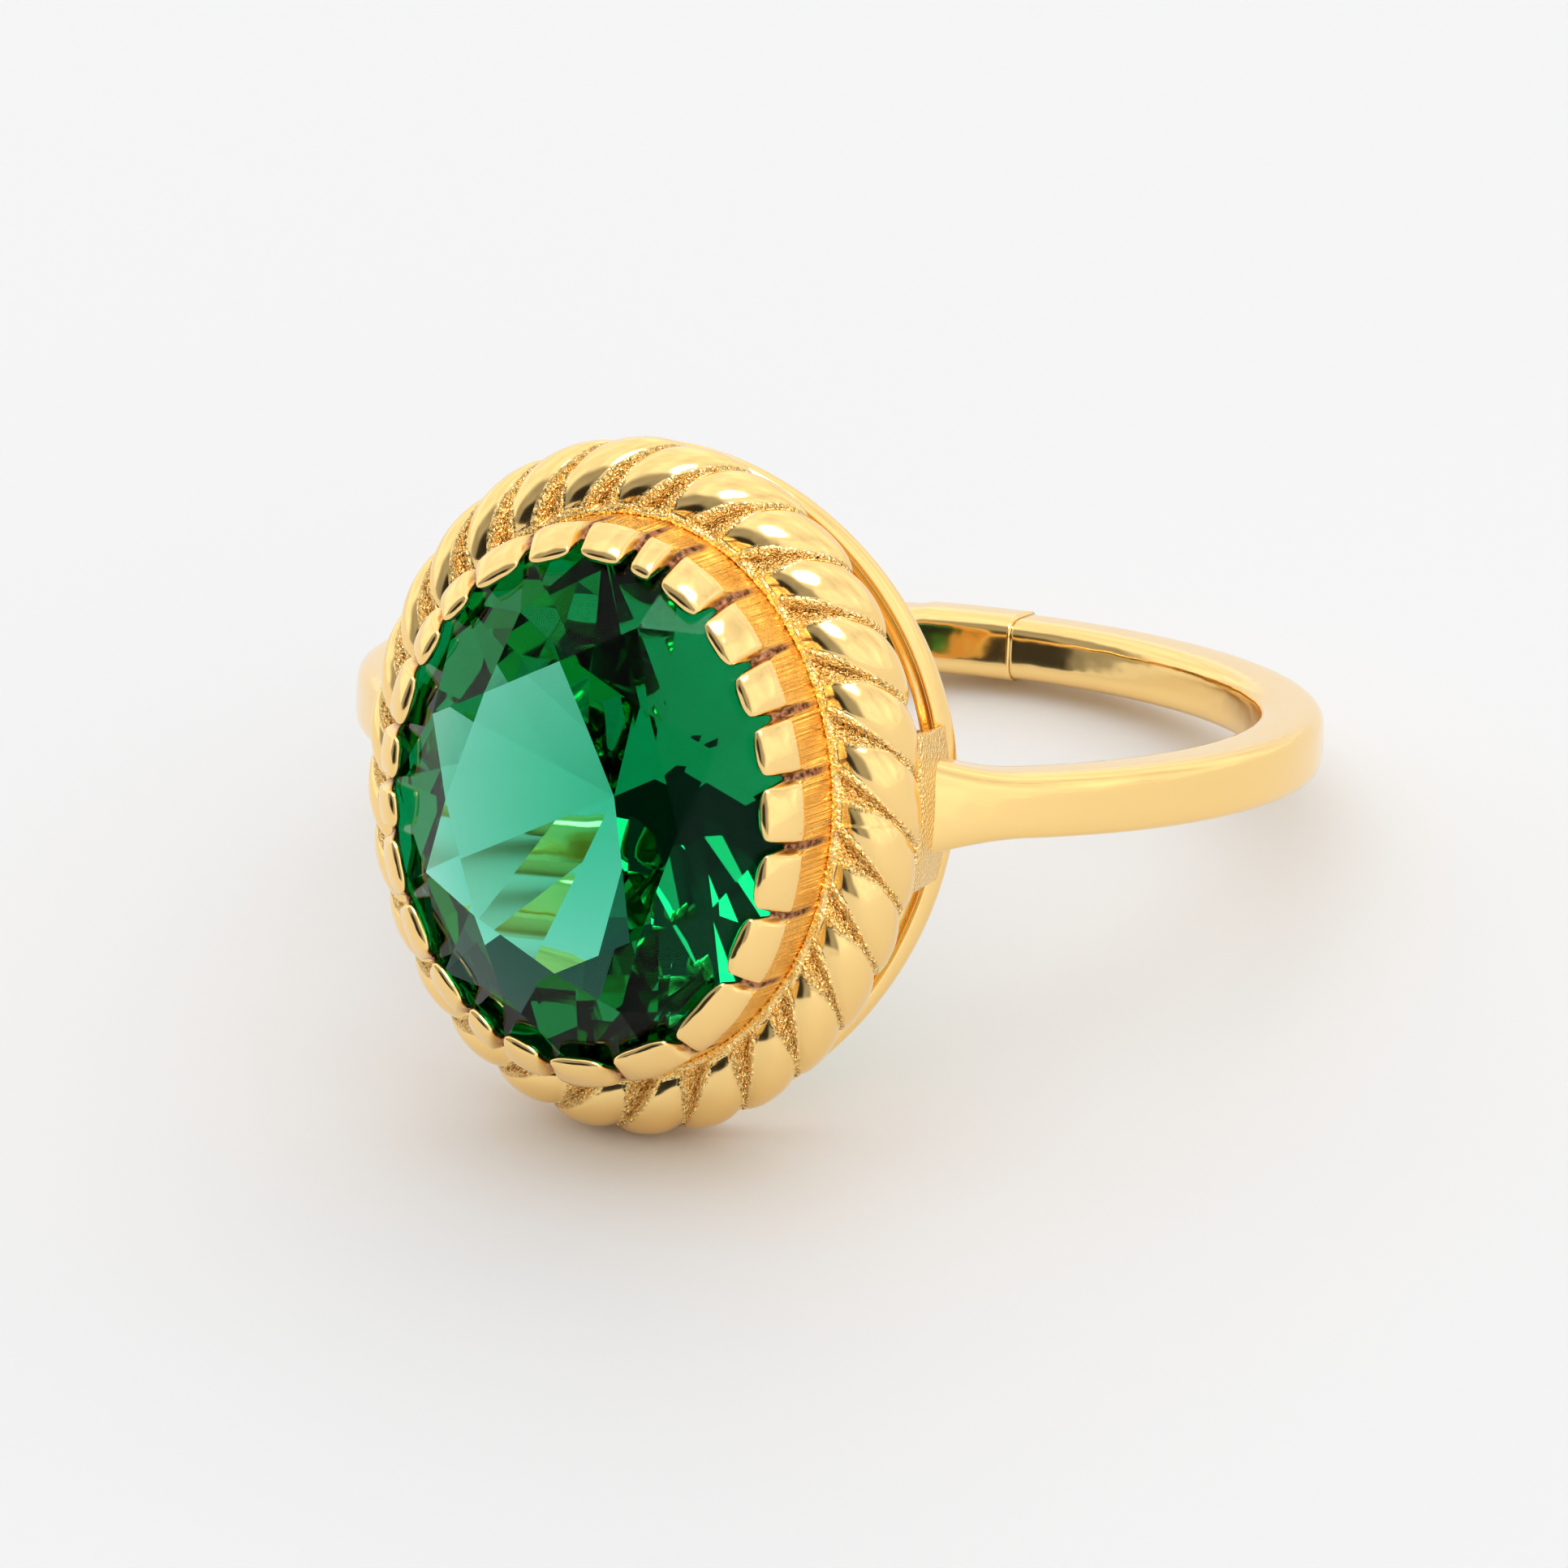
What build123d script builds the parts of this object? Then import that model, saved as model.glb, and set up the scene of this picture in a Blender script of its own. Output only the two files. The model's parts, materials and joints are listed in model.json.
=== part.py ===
from build123d import *
import math
import os

# Cocktail ring: an oval green stone in a serrated bezel, inside a rope border, on an open gallery and a slim
# shank.
#
# The ring is modelled in its own frame: the finger runs along Z through the origin, the stone faces -Y and X
# runs across the head. Heights in the head are measured from the finger's axis towards the stone. At the end
# every piece is laid down together, the way a ring rests on a table: on the head's rim and on the back of the
# shank.

# Stone: an oval brilliant, its long axis along the finger
stone_length = 10.0
stone_width = 8.0
girdle_thickness = 0.24
crown_depth = 1.15
pavilion_depth = 2.80
culet_lift = 0.21  # above the finger hole
table_ratio = 0.60  # table corner, as a share of the girdle's radius
star_ratio = 0.79  # tip of a star facet
lower_half_ratio = 0.27  # lower end of the lower girdle facets
facet_symmetry = 8

# Serrated bezel: a collar cut into tabs that are pressed over the girdle
collar_wall = 0.28
collar_lean = 0.04  # the collar is narrower at its top
girdle_clearance = 0.03  # round the girdle
tab_reach = 0.31  # how far a tab comes in over the stone
tab_thickness = 0.16
tab_bevel = 0.20  # how far below the girdle's top the tabs' sloping backs begin
tab_clearance = 0.03  # above the crown
tab_count = 24
notch_width = 0.15
notch_drop = 0.60  # how far a notch runs down the collar, below the girdle's top

# Bearing: a tube inside the collar, its top bevelled to carry the stone
bearing_wall = 0.40
bearing_clearance = 0.06  # below the pavilion
bearing_lift = 0.35  # above the finger hole

# Rope border, its inner side cut off where it meets the collar, and the plate that carries it
rope_radius = 0.97
rope_offset = 0.68  # the rope's axis outside the stone's outline
rope_clearance = 0.02  # round the collar
rope_axis_above_plate = 0.27
rope_lobes = 28
rope_groove = 0.17  # radius of the groove between two lobes
rope_groove_lift = 0.02  # the groove's middle lies this far outside the rope
rope_slant = 36.0  # degrees between a groove and the rope's own section
plate_lift = 0.28  # above the finger hole
plate_thickness = 0.30
plate_set_back = 0.26  # the plate's edge inside the rope's outer side

# Open gallery: a tapering oval wall, cut away to leave a rail and two supports
wall_step = 0.11  # the wall's top outside the plate's edge
rail_set_in = 0.20  # the rail inside the wall's top, at its sides
wall_thickness = 0.58
rail_height = 0.42
support_width = 3.0

# Shank
bore_radius = 8.05  # 16.1 mm finger hole
shank_thickness = 1.28
shank_back_width = 1.22
shank_shoulder_width = 1.27
shank_edge_radius = 0.28
flare_width = 2.0  # the shank's width in the middle of the gallery's wall
flare_length = 1.45  # the flare's run along the shank
seam_pad_length = 2.2  # the left arm's end at the solder seam is a touch larger than the right's
seam_step = 0.05

# Places that follow from the sizes above
half_length = stone_length / 2
half_width = stone_width / 2
culet_height = bore_radius + culet_lift
girdle_bottom = culet_height + pavilion_depth
girdle_top = girdle_bottom + girdle_thickness
table_height = girdle_top + crown_depth
plate_underside = bore_radius + plate_lift
plate_top = plate_underside + plate_thickness
rope_height = plate_top + rope_axis_above_plate
collar_inside = girdle_clearance
collar_outside = collar_inside + collar_wall
plate_outside = rope_offset + rope_radius - plate_set_back
wall_outside = plate_outside + wall_step
rail_outside = wall_outside - rail_set_in
rail_level = math.sqrt((bore_radius + rail_height / 2) ** 2 - (half_width + rail_outside) ** 2)
shank_outer_radius = bore_radius + shank_thickness
wall_middle = half_width + wall_outside - wall_thickness / 2
flare_height = math.sqrt(shank_outer_radius**2 - wall_middle**2)


def head_plane(height):
    """A plane across the head: x is across the finger, y along it, and the normal points out of the stone."""
    return Plane(origin=(0, -height, 0), x_dir=(1, 0, 0), z_dir=(0, -1, 0))


def oval_form(*sections, mode=Mode.ADD):
    """A solid through ovals, each given as a height and an offset from the stone's outline."""
    outlines = []
    for height, offset in sections:
        with BuildSketch(head_plane(height)) as outline:
            Ellipse(half_width + offset, half_length + offset)
        outlines.append(outline.sketch)
    loft(outlines, ruled=True, mode=mode)


# ---------------------------------------------------------------- stone
def stone_point(angle, ratio, height):
    """A corner of the cut stone, from its angle round the head and its share of the girdle's radius."""
    turn = math.radians(angle)
    return Vector(half_width * ratio * math.cos(turn), -height, half_length * ratio * math.sin(turn))


def facet_plane(a, b, c):
    """The plane through three corners, its normal away from the stone's middle."""
    normal = (b - a).cross(c - a).normalized()
    if normal.dot(a - Vector(0, -girdle_top, 0)) < 0:
        normal = normal * -1
    return Plane(origin=a, z_dir=normal)


half_step = 180 / facet_symmetry
half_step_cosine = math.cos(math.radians(half_step))
star_height = girdle_top + crown_depth * (1 - star_ratio * half_step_cosine) / (1 - table_ratio)
lower_half_height = girdle_bottom - pavilion_depth * (1 - lower_half_ratio * half_step_cosine)

facets = []
for number in range(facet_symmetry):
    main = 2 * half_step * number
    corner = stone_point(main, table_ratio, table_height)
    next_corner = stone_point(main + 2 * half_step, table_ratio, table_height)
    star_tips = [stone_point(main + side * half_step, star_ratio, star_height) for side in (-1, 1)]
    lower_tips = [
        stone_point(main + side * half_step, lower_half_ratio, lower_half_height) for side in (-1, 1)
    ]
    facets.append(facet_plane(corner, *star_tips))
    facets.append(facet_plane(corner, next_corner, star_tips[1]))
    facets.append(facet_plane(stone_point(main, 0, culet_height), *lower_tips))
    for side, star_tip, lower_tip in zip((-1, 1), star_tips, lower_tips):
        between = main + side * half_step
        upper_edge = [stone_point(angle, 1, girdle_top) for angle in (main, between)]
        lower_edge = [stone_point(angle, 1, girdle_bottom) for angle in (main, between)]
        facets.append(facet_plane(star_tip, *upper_edge))
        facets.append(facet_plane(lower_tip, *lower_edge))

with BuildPart() as oval_stone:
    oval_form((culet_height, 0), (table_height, 0))
    for facet in facets:
        split(bisect_by=facet, keep=Keep.BOTTOM)

# ---------------------------------------------------------------- serrated bezel
# The crown is steepest at the stone's sides, and the tabs clear it there.
crown_slope = (star_height - girdle_top) / (1 - star_ratio) / half_width
tab_under = girdle_top + tab_clearance
tab_tip_under = tab_under + tab_reach * crown_slope
tab_tip_top = tab_tip_under + tab_thickness

with BuildPart() as serrated_bezel:
    oval_form(
        (plate_underside, collar_outside),
        (girdle_top - tab_bevel, collar_outside - collar_lean),
        (tab_under + tab_thickness, collar_inside + tab_thickness / 2),
        (tab_tip_top, -tab_reach),
    )
    oval_form((plate_underside, collar_inside), (tab_under, collar_inside), mode=Mode.SUBTRACT)
    oval_form((tab_under, collar_inside), (tab_tip_under, -tab_reach), mode=Mode.SUBTRACT)
    oval_form((tab_tip_under, -tab_reach), (tab_tip_top, -tab_reach), mode=Mode.SUBTRACT)
    with BuildLine(head_plane(tab_tip_top)) as tab_line:
        EllipticalCenterArc((0, 0), half_width, half_length, arc_size=360)
    with Locations(*[tab_line.edge().location_at(number / tab_count) for number in range(tab_count)]):
        Box(4 * tab_reach, 2 * (tab_tip_top - girdle_top + notch_drop), notch_width, mode=Mode.SUBTRACT)

# ---------------------------------------------------------------- bearing
pavilion_slope = pavilion_depth / half_width
bearing_top = girdle_bottom - bearing_clearance
bearing_inside = collar_inside - bearing_wall
bearing_bevel_foot = bearing_top - pavilion_slope * bearing_wall
finger_clear_radius = bore_radius + bearing_lift

with BuildPart() as stone_bearing:
    oval_form((rail_level, collar_inside), (bearing_top, collar_inside))
    oval_form((rail_level, bearing_inside), (bearing_top, bearing_inside), mode=Mode.SUBTRACT)
    oval_form((bearing_bevel_foot, bearing_inside), (bearing_top, collar_inside), mode=Mode.SUBTRACT)
    Cylinder(finger_clear_radius, 2 * stone_length, mode=Mode.SUBTRACT)

# ---------------------------------------------------------------- border
with BuildPart() as groove:
    with BuildLine(Plane.XY.rotated((0, rope_slant, 0))) as groove_line:
        across = (rope_radius + rope_groove_lift) / math.cos(math.radians(rope_slant))
        EllipticalCenterArc((0, 0), across, rope_radius + rope_groove_lift, arc_size=360)
    with BuildSketch(Plane(origin=groove_line.line @ 0, z_dir=groove_line.line % 0)):
        Circle(rope_groove)
    sweep(path=groove_line.line)

with BuildPart() as rope_border:
    with BuildLine(head_plane(rope_height)) as rope_line:
        EllipticalCenterArc((0, 0), half_width + rope_offset, half_length + rope_offset, arc_size=360)
    with BuildSketch(Plane(origin=rope_line.line @ 0, z_dir=rope_line.line % 0)):
        Circle(rope_radius)
    sweep(path=rope_line.line)
    grooves = [rope_line.edge().location_at((number + 0.5) / rope_lobes) for number in range(rope_lobes)]
    with Locations(*grooves):
        add(groove.part, mode=Mode.SUBTRACT)
    oval_form(
        (plate_underside, collar_outside + rope_clearance),
        (girdle_top, collar_outside + rope_clearance),
        mode=Mode.SUBTRACT,
    )
    split(bisect_by=head_plane(plate_top), keep=Keep.TOP)

with BuildPart() as frame_plate:
    oval_form((plate_underside, plate_outside), (plate_top, plate_outside))
    oval_form((plate_underside, collar_outside), (plate_top, collar_outside), mode=Mode.SUBTRACT)

# ---------------------------------------------------------------- open gallery
wall_foot = rail_level - rail_height
wall_lean = (wall_outside - rail_outside) / (plate_underside - rail_level)
foot_outside = rail_outside - wall_lean * (rail_level - wall_foot)

with BuildPart() as gallery_wall:
    oval_form((wall_foot, foot_outside), (plate_underside, wall_outside))
    oval_form(
        (wall_foot, foot_outside - wall_thickness),
        (plate_underside, wall_outside - wall_thickness),
        mode=Mode.SUBTRACT,
    )
    Cylinder(bore_radius, 2 * stone_length, mode=Mode.SUBTRACT)

with BuildPart() as gallery_rail:
    add(gallery_wall.part)
    Cylinder(bore_radius + rail_height, 2 * stone_length, mode=Mode.INTERSECT)

with BuildPart() as shoulder_support_right:
    add(gallery_wall.part)
    Cylinder(bore_radius + rail_height, 2 * stone_length, mode=Mode.SUBTRACT)
    with Locations((stone_width / 2, -plate_underside)):
        Box(stone_width, stone_length, support_width, mode=Mode.INTERSECT)

with BuildPart() as shoulder_support_left:
    mirror(shoulder_support_right.part, about=Plane.YZ)

# ---------------------------------------------------------------- shank
with BuildPart() as shank_right:
    with BuildSketch(Plane.XY):
        Circle(shank_outer_radius)
        Circle(bore_radius, mode=Mode.SUBTRACT)
    extrude(amount=flare_width, both=True)
    with BuildSketch(Plane.YZ):
        with BuildLine():
            back = (shank_outer_radius, shank_back_width / 2)
            shoulder = (flare_length - flare_height, shank_shoulder_width / 2)
            root = (-flare_height, flare_width / 2)
            side = Polyline((back[0], 0), back, shoulder)
            TangentArc(shoulder, root, tangent=side % 1)
            Polyline(root, (-plate_underside, root[1]), (-plate_underside, 0))
            mirror(about=Plane.XZ)
        make_face()
    extrude(amount=shank_outer_radius, both=True, mode=Mode.INTERSECT)
    split(bisect_by=Plane.YZ, keep=Keep.TOP)
    split(bisect_by=head_plane(plate_underside), keep=Keep.BOTTOM)
    oval_form((wall_foot, foot_outside), (plate_underside, wall_outside), mode=Mode.SUBTRACT)
    fillet(shank_right.edges().filter_by(lambda edge: edge.length > bore_radius), shank_edge_radius)

with BuildPart() as shank_left:
    mirror(shank_right.part, about=Plane.YZ)
    with BuildSketch(Plane.YZ):
        with Locations((bore_radius + (shank_thickness + seam_step) / 2, 0)):
            pad_height = shank_thickness + seam_step
            RectangleRounded(pad_height, shank_back_width + 2 * seam_step, shank_edge_radius)
    revolve(axis=Axis.Z, revolution_arc=math.degrees(seam_pad_length / shank_outer_radius))

# ---------------------------------------------------------------- laying the ring down
pieces = {
    "oval_stone": oval_stone,
    "serrated_bezel": serrated_bezel,
    "stone_bearing": stone_bearing,
    "rope_border": rope_border,
    "frame_plate": frame_plate,
    "gallery_rail": gallery_rail,
    "shoulder_support_right": shoulder_support_right,
    "shoulder_support_left": shoulder_support_left,
    "shank_right": shank_right,
    "shank_left": shank_left,
}

# The ring rests on the back of the shank and on whichever of the head's rims comes down first: the rope's
# round side, or an edge of the plate or the wall.
back_reach = shank_outer_radius + seam_step
back_drop = shank_back_width / 2 + seam_step
rope_run = back_reach + rope_height
rope_drop = half_length + rope_offset - back_drop
tilts = [math.atan2(rope_drop, rope_run) + math.asin(rope_radius / math.hypot(rope_run, rope_drop))]
rims = [(plate_top, plate_outside), (plate_underside, wall_outside), (bore_radius, wall_outside)]
for rim_height, rim_outside in rims:
    tilts.append(math.atan2(half_length + rim_outside - back_drop, back_reach + rim_height))
tilt = math.degrees(max(tilts))

laid = Location((0, 0, 0), (-tilt, 0, 0))
box = Compound([piece.part for piece in pieces.values()]).moved(laid).bounding_box()
rest = Location((-box.center().X, -box.center().Y, -box.min.Z)) * laid

os.makedirs("parts", exist_ok=True)
for name, piece in pieces.items():
    piece.part.move(rest)
    piece.part.label = name
    export_step(piece.part, f"parts/{name}.step")

print("laid down at", round(tilt, 3), "degrees, finger hole centre", rest.position, "size", box.size)
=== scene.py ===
import json
import math
import bpy
import numpy as np
from mathutils import Matrix


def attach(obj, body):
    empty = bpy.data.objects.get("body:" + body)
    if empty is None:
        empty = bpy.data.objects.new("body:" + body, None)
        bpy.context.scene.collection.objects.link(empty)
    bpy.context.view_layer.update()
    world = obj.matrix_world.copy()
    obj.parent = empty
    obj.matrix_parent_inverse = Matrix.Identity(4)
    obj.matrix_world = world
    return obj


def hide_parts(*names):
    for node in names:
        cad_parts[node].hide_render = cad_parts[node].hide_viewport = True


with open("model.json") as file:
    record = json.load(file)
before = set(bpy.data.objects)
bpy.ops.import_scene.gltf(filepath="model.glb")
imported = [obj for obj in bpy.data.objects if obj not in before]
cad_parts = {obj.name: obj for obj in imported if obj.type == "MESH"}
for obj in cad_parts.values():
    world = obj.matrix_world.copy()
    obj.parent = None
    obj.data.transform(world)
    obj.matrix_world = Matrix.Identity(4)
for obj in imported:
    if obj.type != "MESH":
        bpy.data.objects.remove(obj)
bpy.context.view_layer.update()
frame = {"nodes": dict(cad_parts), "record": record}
print("frame loaded:", len(frame["nodes"]), "nodes")

# The ring's own frame, in millimetres: the finger runs along z, the stone faces -y, and x is across.
bore = next(m for m in frame["record"]["mounts"] if m["name"] == "finger_bore")
ringCentre = np.array(bore["pos_m"])
ringAxis = np.array(bore["axis"])
acrossAxis = np.array([1.0, 0.0, 0.0])
backAxis = np.cross(ringAxis, acrossAxis)
boreRadius = bore["dims"]["r_mm"]

stone = {
    "halfWidth": 4.0,
    "halfLength": 5.0,
    "girdleTop": boreRadius + 3.25,
    "ior": 1.70,
    "gloss": 0.1,  # how much of the room its surface mirrors
    "tint": (0.02, 0.80, 0.61),
    "depth": 740.0,  # how fast the body takes the light out, per metre
}


# a point in the ring's frame, in mm, becomes a point of the row frame, in metres
def toRow(x, y, z):
    x, y, z = np.broadcast_arrays(x, y, z)
    moved = x[..., None] * acrossAxis + y[..., None] * backAxis + z[..., None] * ringAxis
    return ringCentre + 0.001 * moved


# a point of the head: turn goes round the oval, out is the offset from the stone's outline, and height
# counts from the finger's axis
def headPoint(turn, out, height):
    across = (stone["halfWidth"] + out) * np.cos(turn)
    along = (stone["halfLength"] + out) * np.sin(turn)
    return toRow(across, -height, along)


# 0 below low, 1 above high, and an S curve between
def ease(low, high, value):
    t = np.clip((value - low) / (high - low), 0, 1)
    return t * t * (3 - 2 * t)


# A grid of points, rows by columns, with a quad between each four neighbours. Columns always close on
# themselves; rows close too, or end in two flat caps. The sign of the enclosed volume tells which way
# the faces point.
def addSurface(name, points, closeRows=True, masks=None):
    rows, columns = points.shape[:2]
    index = np.arange(rows * columns).reshape(rows, columns)
    here = index if closeRows else index[:-1]
    below = np.roll(index, -1, 0) if closeRows else index[1:]
    quads = np.stack([here, np.roll(here, -1, 1), np.roll(below, -1, 1), below], -1).reshape(-1, 4)
    vertices = points.reshape(-1, 3)
    caps = []
    if not closeRows:
        vertices = np.vstack([vertices, points[0].mean(0), points[-1].mean(0)])
        first, last = rows * columns, rows * columns + 1
        caps = [(int(b), int(a), first) for a, b in zip(index[0], np.roll(index[0], -1))]
        caps += [(int(a), int(b), last) for a, b in zip(index[-1], np.roll(index[-1], -1))]
    a, b, c, d = (vertices[quads[:, k]] for k in range(4))
    volume = (np.cross(b, c) * a).sum() + (np.cross(c, d) * a).sum()
    faces = quads.tolist() + caps
    if volume <= 0:
        faces = [face[::-1] for face in faces]
    mesh = bpy.data.meshes.new(name)
    mesh.from_pydata(vertices.tolist(), [], faces)
    mesh.polygons.foreach_set("use_smooth", np.ones(len(mesh.polygons), bool))
    for maskName, mask in (masks or {}).items():
        values = np.zeros(len(vertices))
        values[: rows * columns] = mask.reshape(-1)
        mesh.attributes.new(maskName, "FLOAT", "POINT").data.foreach_set("value", values)
    mesh.update()
    piece = bpy.data.objects.new(name, mesh)
    bpy.context.scene.collection.objects.link(piece)
    return piece


# every piece rides on the one body, stands for its CAD node, which is hidden, and takes the finish it is
# given
def setPiece(piece, node, material):
    piece.data.materials.clear()
    piece.data.materials.append(material)
    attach(piece, "root")
    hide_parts(node)
    print("made", node)


# A socket that takes part in sums: each Python operator adds one Math node.
class Wire:
    def __init__(self, bench, socket):
        self.bench = bench
        self.socket = socket

    def sum(self, operation, first, second):
        return self.bench.add("ShaderNodeMath", {"operation": operation}, {0: first, 1: second})

    def __add__(self, other):
        return self.sum("ADD", self, other)

    def __radd__(self, other):
        return self.sum("ADD", other, self)

    def __sub__(self, other):
        return self.sum("SUBTRACT", self, other)

    def __rsub__(self, other):
        return self.sum("SUBTRACT", other, self)

    def __mul__(self, other):
        return self.sum("MULTIPLY", self, other)

    def __rmul__(self, other):
        return self.sum("MULTIPLY", other, self)


# The nodes of one material or of the world.
class Bench:
    def __init__(self, owner):
        owner.use_nodes = True
        self.tree = owner.node_tree
        self.tree.nodes.clear()

    # one node: its type, its settings, which are set first, and the values or links of its sockets
    def add(self, kind, settings=None, sockets=None, output=0):
        node = self.tree.nodes.new(kind)
        for key, value in (settings or {}).items():
            setattr(node, key, value)
        for key, value in (sockets or {}).items():
            if isinstance(value, Wire):
                self.tree.links.new(value.socket, node.inputs[key])
            else:
                node.inputs[key].default_value = value
        if node.outputs:
            return Wire(self, node.outputs[output])

    def noise(self, place, scale, detail):
        return self.add("ShaderNodeTexNoise", {}, {"Vector": place, "Scale": scale, "Detail": detail})

    def attribute(self, name):
        return self.add("ShaderNodeAttribute", {"attribute_name": name}, output=2)

    # 0 at low, 1 at high, and level outside them
    def between(self, value, low, high):
        return self.add("ShaderNodeMapRange", {}, {"Value": value, "From Min": low, "From Max": high})

    def mixColour(self, factor, first, second):
        sockets = {0: factor, 6: first, 7: second}
        return self.add("ShaderNodeMix", {"data_type": "RGBA"}, sockets, output=2)

    # a bump as deep as distance, in metres, laid over the one before it
    def bump(self, height, strength, distance, before=None):
        sockets = {"Height": height, "Strength": strength, "Distance": distance}
        if before is not None:
            sockets["Normal"] = before
        return self.add("ShaderNodeBump", {}, sockets)


gold = {
    "colour": (1.0, 0.69, 0.27),
    "roughness": 0.11,
    "waveScale": 700.0,
    "hairScale": 9000.0,
    "dentScale": 1900.0,
    "waveDepth": 0.00003,
    "dentDepth": 0.00004,
    "grainScale": 14000.0,  # the sandy skin
    "pitScale": 16000.0,
    "skinDepth": 0.00007,
    # painted shade: the brown that darkens the colour in the pits of the sandy skin
    "pitColour": (0.45, 0.22, 0.06),
    "crumbScale": 9000.0,  # the polishing residue
    "crumbColours": ((0.10, 0.035, 0.012), (0.55, 0.24, 0.13)),
    "markScale": 14.0,  # the upright tool marks on the collar, counted per mm of the way round
    "markDepth": 0.00012,
}


# Polished cast gold: faint waviness, fine hairlines, and dents as strong as dented says. The rough mask
# adds the sandy skin of the casting, its pits darkened in colour as painted shade, the residue mask adds
# brown crumbs of polish, and the wall mask adds tool marks that stand across the way round.
def makeGold(name, dented, roughAndShadeMask=None, residueMask=None, wallMask=None):
    material = bpy.data.materials.new(name)
    bench = Bench(material)
    place = bench.add("ShaderNodeTexCoord", output=3)
    waves = bench.noise(place, gold["waveScale"], 2.0)
    hairs = bench.noise(place, gold["hairScale"], 3.0)
    dents = bench.noise(place, gold["dentScale"], 1.0)
    roughness = gold["roughness"] + 0.10 * (waves - 0.5) + 0.06 * (hairs - 0.5)
    colour = (*gold["colour"], 1)
    normal = bench.bump(waves, 0.5, gold["waveDepth"])
    normal = bench.bump(dents, dented, gold["dentDepth"], normal)
    if roughAndShadeMask:
        mask = bench.attribute(roughAndShadeMask)
        grains = bench.add("ShaderNodeTexVoronoi", {}, {"Vector": place, "Scale": gold["grainScale"]})
        pits = bench.noise(place, gold["pitScale"], 4.0)
        roughness = roughness + 0.09 * mask
        normal = bench.bump((grains + 0.7 * pits) * mask, 1.0, gold["skinDepth"], normal)
        # painted shade: the colour turns brown where the pit noise is low, in the hollows of the sandy
        # skin's bump
        pitShade = mask * bench.between(pits, 0.42, 0.3)
        colour = bench.mixColour(0.35 * pitShade, colour, (*gold["pitColour"], 1))
    if residueMask:
        mask = bench.attribute(residueMask)
        stain = bench.between(bench.noise(place, gold["crumbScale"], 4.0), 0.4, 0.6)
        darkCrumb, paleCrumb = gold["crumbColours"]
        deposit = bench.mixColour(stain, (*darkCrumb, 1), (*paleCrumb, 1))
        colour = bench.mixColour(mask, colour, deposit)
        roughness = roughness + 0.4 * mask
    if wallMask:
        mask = bench.attribute(wallMask)
        line = bench.add("ShaderNodeCombineXYZ", {}, {"X": bench.attribute("wayRound")})
        marks = bench.noise(line, gold["markScale"], 3.0)
        roughness = roughness + 0.15 * mask
        normal = bench.bump(marks * mask, 1.0, gold["markDepth"], normal)
    sockets = {"Base Color": colour, "Metallic": 1.0, "Roughness": roughness, "Normal": normal}
    shader = bench.add("ShaderNodeBsdfPrincipled", {}, sockets)
    bench.add("ShaderNodeOutputMaterial", {}, {"Surface": shader})
    return material


# Clear green stone: the surface only bends and mirrors light, and the body takes out red, then blue.
def makeStone():
    material = bpy.data.materials.new("greenStone")
    bench = Bench(material)
    sockets = {"Base Color": (1, 1, 1, 1), "Roughness": 0.0, "IOR": stone["ior"], "Transmission Weight": 1.0}
    sockets["Specular Tint"] = (stone["gloss"],) * 3 + (1,)
    shader = bench.add("ShaderNodeBsdfPrincipled", {}, sockets)
    absorption = {"Color": (*stone["tint"], 1), "Density": stone["depth"]}
    body = bench.add("ShaderNodeVolumeAbsorption", {}, absorption)
    bench.add("ShaderNodeOutputMaterial", {}, {"Surface": shader, "Volume": body})
    return material


greenStone = makeStone()
plainGold = makeGold("polishedGold", 0.25)
castGold = makeGold("castGold", 1.0)
bezelGold = makeGold("bezelGold", 1.0, residueMask="residue", wallMask="wall")
ropeGold = makeGold("ropeGold", 0.6, roughAndShadeMask="sandy")
frame["nodes"]["oval_stone"].data.materials.clear()
frame["nodes"]["oval_stone"].data.materials.append(greenStone)
print("materials made, stone finished")


# An open line through given points with its corners cut three times, a quarter from each end, and
# resampled at equal steps.
def softLine(points, count):
    line = np.array(points, float)
    for _ in range(3):
        before, after = line[:-1], line[1:]
        cut = np.stack([0.75 * before + 0.25 * after, 0.25 * before + 0.75 * after], 1).reshape(-1, 2)
        line = np.vstack([line[:1], cut, line[-1:]])
    length = np.concatenate([[0], np.cumsum(np.hypot(*np.diff(line, axis=0).T))])
    steps = np.linspace(0, length[-1], count)
    return np.stack([np.interp(steps, length, line[:, k]) for k in range(2)], -1)


# A rounded square from 0 to 1 both ways, as a closed loop: a circle pushed towards a square by a power.
def softSquare(count, power):
    angle = np.linspace(0, 2 * np.pi, count, endpoint=False)
    c, s = np.cos(angle), np.sin(angle)
    grow = (np.abs(c) ** power + np.abs(s) ** power) ** (-1 / power)
    return 0.5 + 0.5 * c * grow, 0.5 + 0.5 * s * grow


# all turns once round, for a piece that closes on itself
def fullTurn(columns):
    return np.linspace(0, 2 * np.pi, columns, endpoint=False)


# Distance travelled round the offset oval, in mm, at each turn: the speed there summed over small steps.
def wayRound(turn, out):
    step = np.linspace(0, 2 * np.pi, 4001)
    speed = np.hypot((stone["halfWidth"] + out) * np.sin(step), (stone["halfLength"] + out) * np.cos(step))
    way = np.concatenate([[0], np.cumsum(0.5 * (speed[1:] + speed[:-1]) * np.diff(step))])
    return np.interp(turn, step, way)


bezel = {
    "plateTop": boreRadius + 0.58,
    "outside": 0.31,
    "inside": 0.03,
    "gaps": (11.5, 25, 38, 53, 69, 79, 94.5, 111, 128, 140, 153, 168,
             180, 191, 206, 221, 236, 248, 263, 282, 303, 325, 342, 357),  # degrees round the oval
    "gapHalf": (0.03, 0.15),  # from the middle of a gap, where a tab starts to rise and where it is whole
    "slant": 0.15,
    "pillow": 0.13,
    "cornerCut": 1.0,
    "unevenness": 0.045,
    "reliefShare": 0.7,
    "columnsPerTab": 42,
    "rows": 60,
}


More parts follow.
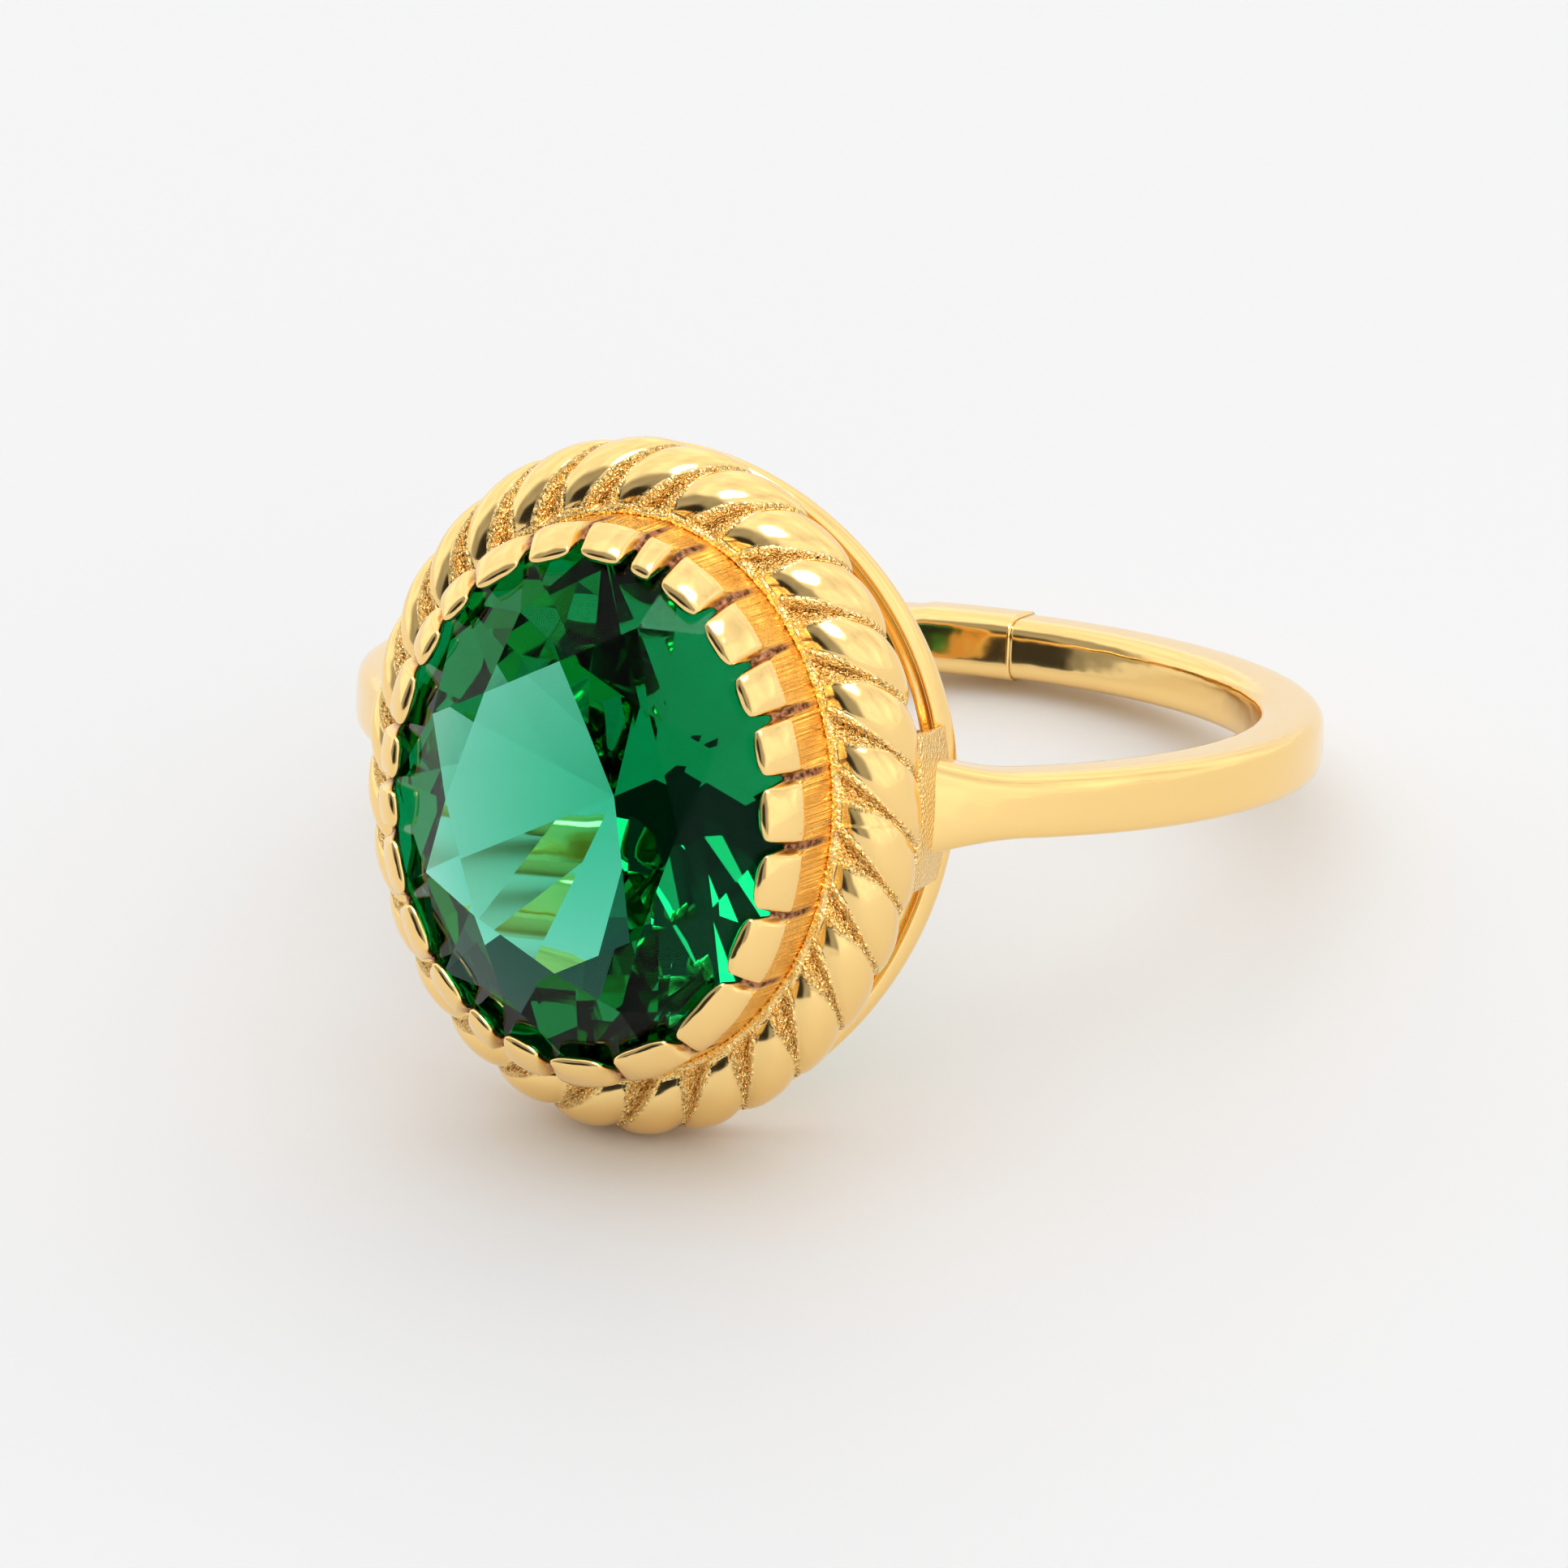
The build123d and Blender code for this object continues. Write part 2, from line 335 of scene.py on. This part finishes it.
# Two outlines run side by side: the tab, folded over the girdle, and the floor of a gap, low against
# the collar. The surface is the floor plus the tab's share, which rises steeply at each side of a gap.
# The tab bulges in the middle, its corners are cut back, and each tab leans and reaches a little
# differently.
def makeBezel():
    top = stone["girdleTop"]
    base = bezel["plateTop"] - 0.1
    out, inn = bezel["outside"], bezel["inside"]
    foot = [(out, base), (out, top - 1.4), (out - 0.03, top - 0.36)]
    fold = [(out - 0.02, top - 0.26), (out + 0.05, top - 0.16), (0.28, top + 0.02), (0.12, top + 0.22),
            (-0.06, top + 0.39), (-0.22, top + 0.46), (-0.33, top + 0.43), (-0.355, top + 0.34),
            (-0.30, top + 0.27), (-0.10, top + 0.12), (inn, top + 0.03), (inn, top - 0.5), (inn, base)]
    dip = [(out - 0.05, top - 0.30), (0.16, top - 0.2), (0.10, top - 0.1), (0.06, top), (0.04, top + 0.04),
           (inn, top + 0.03), (inn, top - 0.1), (inn, top - 0.5), (inn, base)]
    tab = softLine(foot + fold, bezel["rows"])
    gapFloor = softLine(foot + dip, bezel["rows"])
    gaps = np.radians(bezel["gaps"])
    widths = np.diff(np.concatenate([gaps, gaps[:1] + 2 * np.pi]))
    share = np.linspace(0, 1, bezel["columnsPerTab"], endpoint=False)
    share = share - 0.13 * np.sin(4 * np.pi * share) / np.pi  # closer steps beside the gaps
    turn = (gaps[:, None] + widths[:, None] * share).reshape(-1)
    which = np.repeat(np.arange(len(gaps)), bezel["columnsPerTab"])
    chance = np.random.default_rng(7)
    lean, reach, rise, slant = chance.uniform(-1, 1, (4, len(gaps)))
    along = wayRound(np.mod(turn, 2 * np.pi), 0)
    perimeter = wayRound(np.array([2 * np.pi]), 0)[0]
    gapWay = wayRound(np.mod(gaps, 2 * np.pi), 0)
    over = np.linspace(0, 1, bezel["rows"])[:, None]
    near = np.full((bezel["rows"], len(turn)), perimeter)
    for way, tilt in zip(gapWay, slant):
        apart = along[None, :] - way - bezel["slant"] * tilt * (over - 0.4)
        apart = (apart + perimeter / 2) % perimeter - perimeter / 2
        near = np.minimum(near, np.abs(apart))
    tabShare = ease(*bezel["gapHalf"], near)
    side = 2 * (np.tile(share, len(gaps))) - 1
    bulge = bezel["pillow"] * (0.5 - np.abs(side) ** 2.6)
    uneven = bezel["unevenness"] * (lean[which] * side + 0.5 * rise[which])
    face = ease(0.30, 0.42, over) * (1 - ease(0.60, 0.72, over))
    relief = bezel["reliefShare"] * (bulge + uneven) * face
    shrink = 1 - bezel["cornerCut"] * np.abs(side) ** 3 + bezel["unevenness"] * 2 * reach[which]
    tabOut = np.where(tab[:, :1] < 0, tab[:, :1] * shrink, tab[:, :1]) + relief
    tabUp = tab[:, 1:] + relief
    outs = gapFloor[:, :1] + tabShare * (tabOut - gapFloor[:, :1])
    ups = gapFloor[:, 1:] + tabShare * (tabUp - gapFloor[:, 1:])
    wall = (1 - ease(0.34, 0.40, over)) * np.ones_like(near)
    residue = (1 - ease(0.03, 0.12, near)) * ease(0.22, 0.32, over) * (1 - ease(0.75, 0.8, over))
    masks = {"residue": residue, "wall": wall, "wayRound": np.tile(along, (bezel["rows"], 1))}
    return addSurface("serratedBezel", headPoint(turn[None, :], outs, ups), masks=masks)


setPiece(makeBezel(), "serrated_bezel", bezelGold)

rope = {
    "radius": 0.97,
    "axisOut": 0.68,
    "axisHeight": boreRadius + 0.85,
    "inside": 0.32,
    "insideHeights": (boreRadius + 1.45, boreRadius + 1.05),  # on the way down along the collar
    "footOuts": (0.7, 1.3),
    "lowAngle": -24.0,
    "lobes": 28,
    "start": 0.42,
    "advance": 1.2,
    "roundness": 2.1,
    "unevenness": 0.015,
    "depthOuter": 0.23,
    "depthInner": 0.33,
    "valleyOuter": 0.05,
    "valleyInner": 0.34,
    "sandyBulge": 0.034,
    "ridge": 0.03,
    "columnsPerLobe": 36,
    "arcRows": 60,
}


# The section is an arc from the plate, over the outside, to the collar, closed along the collar and the
# plate. A lobe's phase counts pitches round the oval, less the share of the arc, so each valley crosses
# the rope on a slant. Within a pitch the arc's radius follows a round lobe, the root of one less a
# power of the distance from its middle, and it sinks deeper towards the collar. A sandy band lies along
# each valley, grainy in shape too, and a ridge runs along the collar.
def makeRope():
    low = np.radians(rope["lowAngle"])
    high = np.arccos((rope["inside"] - rope["axisOut"]) / rope["radius"])
    arc = np.linspace(low, high, rope["arcRows"])[:, None]
    shareUp = (arc - low) / (high - low)
    columns = rope["lobes"] * rope["columnsPerLobe"]
    way = np.linspace(0, 1, columns, endpoint=False)
    dense = np.linspace(0, 2 * np.pi, 4001)
    wayDense = wayRound(dense, rope["axisOut"])
    turn = np.interp(way * wayDense[-1], wayDense, dense)
    pitch = wayDense[-1] / rope["lobes"]
    phase = way * rope["lobes"] + rope["start"] - rope["advance"] * shareUp
    part = phase - np.floor(phase)
    fromMiddle = np.abs(2 * part**0.85 - 1)
    fromValley = np.minimum(part, 1 - part) * pitch
    valleyHalf = rope["valleyOuter"] + (rope["valleyInner"] - rope["valleyOuter"]) * ease(0.35, 1.0, shareUp)
    depth = rope["depthOuter"] + (rope["depthInner"] - rope["depthOuter"]) * ease(0.1, 0.8, shareUp)
    lobe = (1 - fromMiddle ** rope["roundness"]) ** 0.5
    radius = rope["radius"] - depth * (1 - np.maximum(lobe, 0.12))
    radius = radius + rope["unevenness"] * np.sin(7 * np.floor(phase)) * lobe
    # this mask also darkens the colour in the pits of the grainy skin, as painted shade
    sandy = 1 - ease(valleyHalf * 0.7, valleyHalf * 1.3, fromValley)
    sandy = np.maximum(sandy, ease(0.90, 0.96, shareUp))
    ridge = ease(0.925, 0.965, shareUp)
    radius = radius * (1 - ridge) + (rope["radius"] + rope["ridge"]) * ridge
    sandy = np.maximum(sandy * (1 - ridge), 0.3 * ridge)
    grains = np.random.default_rng(11).normal(0, 1, radius.shape)
    radius = radius + rope["sandyBulge"] * sandy * (0.6 * grains + 0.4 * np.roll(grains, 1, 1))
    outs = rope["axisOut"] + radius * np.cos(arc)
    ups = rope["axisHeight"] + radius * np.sin(arc)
    foot = bezel["plateTop"] - 0.02
    closing = [(rope["inside"], height) for height in (*rope["insideHeights"], foot)]
    closing = np.array(closing + [(out, foot) for out in rope["footOuts"]])
    outs = np.vstack([outs, np.repeat(closing[:, :1], columns, 1)])
    ups = np.vstack([ups, np.repeat(closing[:, 1:], columns, 1)])
    sandy = np.vstack([sandy, np.zeros((len(closing), columns))])
    return addSurface("ropeBorder", headPoint(turn[None, :], outs, ups), masks={"sandy": sandy})


setPiece(makeRope(), "rope_border", ropeGold)

gallery = {
    "plateOut": 1.39,
    "plateIn": 0.31,
    "plateLow": boreRadius + 0.28,
    "plateHigh": boreRadius + 0.58,
    "wallTop": 1.50,
    "wallAtRail": 1.30,
    "railLevel": 6.335,
    "wallThick": 0.58,
    "railHeight": 0.42,
    "railSlope": 0.75,
    "supportHalf": 1.5,
    "bearingOut": 0.02,
    "bearingWall": 0.40,
    "bearingLift": 0.35,
    "bearingTop": stone["girdleTop"] - 0.30,
    "columns": 480,
}


# A flat ring round the oval, its section a softened rectangle: p runs outward and q upward.
def makePlate():
    p, q = softSquare(40, 7.0)
    turn = fullTurn(gallery["columns"])
    out = gallery["plateIn"] + p * (gallery["plateOut"] - gallery["plateIn"])
    up = gallery["plateLow"] + q * (gallery["plateHigh"] - gallery["plateLow"])
    return addSurface("framePlate", headPoint(turn[None, :], out[:, None], up[:, None]))


# The wall's offset from the stone's outline at a height; it leans outward towards the plate.
def wallOut(height, inset):
    lean = (gallery["wallTop"] - gallery["wallAtRail"]) / (gallery["plateLow"] - gallery["railLevel"])
    return gallery["wallAtRail"] + lean * (height - gallery["railLevel"]) - inset


# The height at which the leaning wall meets a cylinder round the finger, found by stepping to and fro.
def meetHeight(turn, inset, radius):
    height = np.full(np.broadcast(turn, inset).shape, 7.0)
    for _ in range(40):
        across = (stone["halfWidth"] + wallOut(height, inset)) * np.cos(turn)
        height = 0.5 * height + 0.5 * np.sqrt(np.maximum(radius**2 - across**2, 1.0))
    return np.minimum(height, gallery["plateLow"])


# A strip of the wall between two cylinders, its section a rounded square: p runs outward, q upward, and
# the top slopes down towards the inside.
def makeRail():
    p, q = softSquare(40, 2.8)
    turn = fullTurn(gallery["columns"])[None, :]
    inset = (1 - p[:, None]) * gallery["wallThick"]
    low = meetHeight(turn, inset, boreRadius)
    high = meetHeight(turn, inset, boreRadius + gallery["railHeight"])
    slope = 1 - gallery["railSlope"] * ease(0.65, 0.30, p[:, None])
    up = low + q[:, None] * (high - low) * slope
    return addSurface("galleryRail", headPoint(turn, wallOut(up, inset), up))


# A block of the wall between the rail and the plate, its section a softened rectangle; side is 1 on the
# right and -1 on the left, where the turn is counted back from half a round.
def makeSupport(side):
    p, q = softSquare(40, 7.0)
    half = np.arcsin(gallery["supportHalf"] / (stone["halfLength"] + gallery["wallTop"]))
    turn = np.linspace(-half, half, 60)[:, None]
    inset = (1 - p[None, :]) * gallery["wallThick"]
    low = meetHeight(turn, inset, boreRadius + gallery["railHeight"]) - 0.05
    up = low + q[None, :] * (gallery["plateLow"] + 0.03 - low)
    name = "shoulderSupportRight"
    if side < 0:
        turn = np.pi - turn
        name = "shoulderSupportLeft"
    points = headPoint(turn, wallOut(up, inset), up)
    # the outer side takes the sandy skin, with painted shade darkening its pits
    return addSurface(name, points, closeRows=False, masks={"sandy": np.tile(p, (60, 1))})


# A tube round the oval under the stone, its section a softened rectangle: the foot follows a cylinder
# round the finger, and the top slopes down from the outside in, as the stone's underside does.
def makeBearing():
    p, q = softSquare(60, 9.0)
    turn = fullTurn(gallery["columns"])[None, :]
    out = (gallery["bearingOut"] - (1 - p) * gallery["bearingWall"])[:, None]
    across = (stone["halfWidth"] + out) * np.cos(turn)
    low = np.sqrt(np.maximum((boreRadius + gallery["bearingLift"]) ** 2 - across**2, 6.6**2))
    high = gallery["bearingTop"] - 0.7 * (1 - p)[:, None] * gallery["bearingWall"]
    up = low + q[:, None] * (high - low)
    return addSurface("stoneBearing", headPoint(turn, out, up))


setPiece(makePlate(), "frame_plate", castGold)
setPiece(makeRail(), "gallery_rail", plainGold)
setPiece(makeSupport(1), "shoulder_support_right", ropeGold)
setPiece(makeSupport(-1), "shoulder_support_left", ropeGold)
setPiece(makeBearing(), "stone_bearing", plainGold)

shank = {
    "thick": 1.28,
    "backWidth": 1.22,
    "shoulderWidth": 1.27,
    "flareWidth": 2.0,
    "flareLength": 1.45,
    "padLength": 2.2,  # the left arm's thicker end at the seam
    "padStep": 0.05,
    "unevenness": 0.012,
    "squareness": 4.2,
    "steps": 260,
    "around": 64,
}


# The band's section is a rounded square carried round the finger hole: p runs outward and q along the
# finger. Its width is nearly even, and near the head it grows with the square of the way into the
# flare. Each line along the band starts inside the gallery wall and ends at the seam at the back. side
# is 1 on the right and -1 on the left.
def makeShank(side):
    p, q = softSquare(shank["around"], shank["squareness"])
    pad = shank["padStep"] if side < 0 else 0.0
    outer = boreRadius + shank["thick"]
    ways = np.linspace(0, 1, shank["steps"])[:, None]
    radius = boreRadius + p[None, :] * shank["thick"]
    meet = meetHeight(0.0, 0.5 * gallery["wallThick"], radius)
    start = -np.arcsin(np.clip(meet / radius, -1, 1))
    angle = start + ways * (np.pi / 2 - start)
    backward = outer * np.sin(angle)
    wallMiddle = stone["halfWidth"] + gallery["wallTop"] - gallery["wallThick"] / 2
    flareHeight = math.sqrt(outer**2 - wallMiddle**2)
    run = np.clip((shank["flareLength"] - flareHeight - backward) / shank["flareLength"], 0, 1.15)
    taper = (shank["backWidth"] - shank["shoulderWidth"]) * ease(-outer, outer, backward)
    width = shank["shoulderWidth"] + taper + (shank["flareWidth"] - shank["shoulderWidth"]) * run**2
    atPad = ease(-0.02, 0.02, angle - (np.pi / 2 - shank["padLength"] / outer)) * pad
    wave = shank["unevenness"] * np.sin(3.1 * angle + 1.0) * np.sin(5.3 * angle)
    radius = radius + p[None, :] * (atPad + wave)
    along = (q[None, :] - 0.5) * (width + 2 * atPad)
    points = toRow(side * radius * np.cos(angle), radius * np.sin(angle), along)
    return addSurface("shankRight" if side > 0 else "shankLeft", points, closeRows=False)


setPiece(makeShank(1), "shank_right", plainGold)
setPiece(makeShank(-1), "shank_left", plainGold)

floorMesh = bpy.data.meshes.new("floor")
floorMesh.from_pydata([(-3, -3, 0), (3, -3, 0), (3, 3, 0), (-3, 3, 0)], [], [(0, 1, 2, 3)])
floor = bpy.data.objects.new("floor", floorMesh)
bpy.context.scene.collection.objects.link(floor)
paper = bpy.data.materials.new("paper")
bench = Bench(paper)
paperLook = {"Base Color": (0.885, 0.885, 0.89, 1), "Roughness": 0.6}
paperShader = bench.add("ShaderNodeBsdfPrincipled", {}, paperLook)
bench.add("ShaderNodeOutputMaterial", {}, {"Surface": paperShader})
floorMesh.materials.append(paper)
print("floor laid")

camera = {
    "azimuth": 27.11,  # degrees, from the front towards the right
    "elevation": 27.89,
    "roll": -5.75,
    "distance": 0.300,
    "lens": 357.0,
    "aim": ringCentre + np.array([-0.000809, -0.001070, -0.001102]),
}


# the unit vector towards an azimuth and elevation in degrees
def heading(azimuth, elevation):
    across, up = math.radians(azimuth), math.radians(elevation)
    return np.array([math.sin(across) * math.cos(up), -math.cos(across) * math.cos(up), math.sin(up)])


# The camera stands back from its aim, its level side is rolled about the line of sight, and its matrix
# holds right, up and back as columns.
def addCamera():
    back = heading(camera["azimuth"], camera["elevation"])
    turn, roll = math.radians(camera["azimuth"]), math.radians(camera["roll"])
    level = np.array([math.cos(turn), math.sin(turn), 0.0])
    right = math.cos(roll) * level + math.sin(roll) * np.cross(back, level)
    matrix = np.eye(4)
    matrix[:3, :3] = np.stack([right, np.cross(back, right), back], 1)
    matrix[:3, 3] = camera["aim"] + camera["distance"] * back
    data = bpy.data.cameras.new("camera")
    data.lens = camera["lens"]
    data.sensor_width = 36.0
    data.clip_start = 0.01
    data.clip_end = 10.0
    cameraBody = bpy.data.objects.new("camera", data)
    cameraBody.matrix_world = Matrix(matrix.tolist())
    bpy.context.scene.collection.objects.link(cameraBody)
    bpy.context.scene.camera = cameraBody


addCamera()
print("camera set")

# Each middle is an azimuth and an elevation in degrees, and each edge the two cosines from it between
# which the patch fades in.
studio = {
    "room": 1.12,
    "darkLevel": 0.03,
    "darkMiddle": (-22.0, 6.0),  # the dark space that the polished metal mirrors
    "darkEdge": (0.90, 0.96),
    "greyLevel": 0.38,  # a grey patch round that space
    "greyEdge": (0.55, 0.75),
    "lampMiddle": (35.0, 62.0),  # seen in mirrored rays only
    "lampEdge": (0.955, 0.975),
    "lampLevel": 7.0,
    "cloudScale": 2.2,
    "cloudDepth": 1.1,
    "stoneRoom": 0.12,  # what meets the rays that have gone through the stone
    "stoneMiddle": (0.0, 0.0),
    "stoneFront": (-0.2, 0.2),
    "stoneTop": (0.62, 0.80),  # the upward share above which the dark front ends
    "sparkleMiddle": (-75.0, 62.0),
    "sparkleEdge": (0.90, 0.96),
    "sparkleLevel": 5.0,
}
world = bpy.data.worlds.new("studio")
bpy.context.scene.world = world
bench = Bench(world)
direction = bench.add("ShaderNodeTexCoord", output=0)
upward = bench.add("ShaderNodeSeparateXYZ", {}, {0: direction}, output=2)


# how far the ray points towards a middle, as a cosine
def facing(middle):
    sockets = {0: direction, 1: tuple(heading(*middle))}
    return bench.add("ShaderNodeVectorMath", {"operation": "DOT_PRODUCT"}, sockets, output=1)


# 0 below the edge's low value, 1 above its high one, and an S curve between
def gradient(value, edge):
    sockets = {"Value": value, "From Min": edge[0], "From Max": edge[1]}
    return bench.add("ShaderNodeMapRange", {"interpolation_type": "SMOOTHSTEP"}, sockets)


throughStone = bench.add("ShaderNodeLightPath", output=6)
mirroredRay = bench.add("ShaderNodeLightPath", output=3)
fromDark = facing(studio["darkMiddle"])
metalDark = gradient(fromDark, studio["darkEdge"])
metalGrey = gradient(fromDark, studio["greyEdge"])
metalLevel = studio["room"] - (studio["room"] - studio["greyLevel"]) * metalGrey
metalLevel = metalLevel - (studio["greyLevel"] - studio["darkLevel"]) * metalDark
clouds = bench.noise(direction, studio["cloudScale"], 2.0)
metalLevel = metalLevel * (1 + studio["cloudDepth"] * (clouds - 0.5))
lamp = gradient(facing(studio["lampMiddle"]), studio["lampEdge"])
metalLevel = metalLevel + studio["lampLevel"] * lamp * mirroredRay
front = gradient(facing(studio["stoneMiddle"]), studio["stoneFront"])
stoneDark = front * (1 - gradient(upward, studio["stoneTop"]))
stoneLevel = studio["stoneRoom"] - (studio["stoneRoom"] - studio["darkLevel"]) * stoneDark
sparkle = gradient(facing(studio["sparkleMiddle"]), studio["sparkleEdge"])
stoneLevel = stoneLevel + studio["sparkleLevel"] * sparkle
level = metalLevel + (stoneLevel - metalLevel) * throughStone
sky = bench.add("ShaderNodeBackground", {}, {"Color": (1, 1, 1, 1), "Strength": level})
bench.add("ShaderNodeOutputWorld", {}, {"Surface": sky})
bpy.context.scene.view_settings.view_transform = "Standard"
cycles = bpy.context.scene.cycles
cycles.max_bounces = 24
cycles.transmission_bounces = 24
cycles.glossy_bounces = 8
print("studio lit")
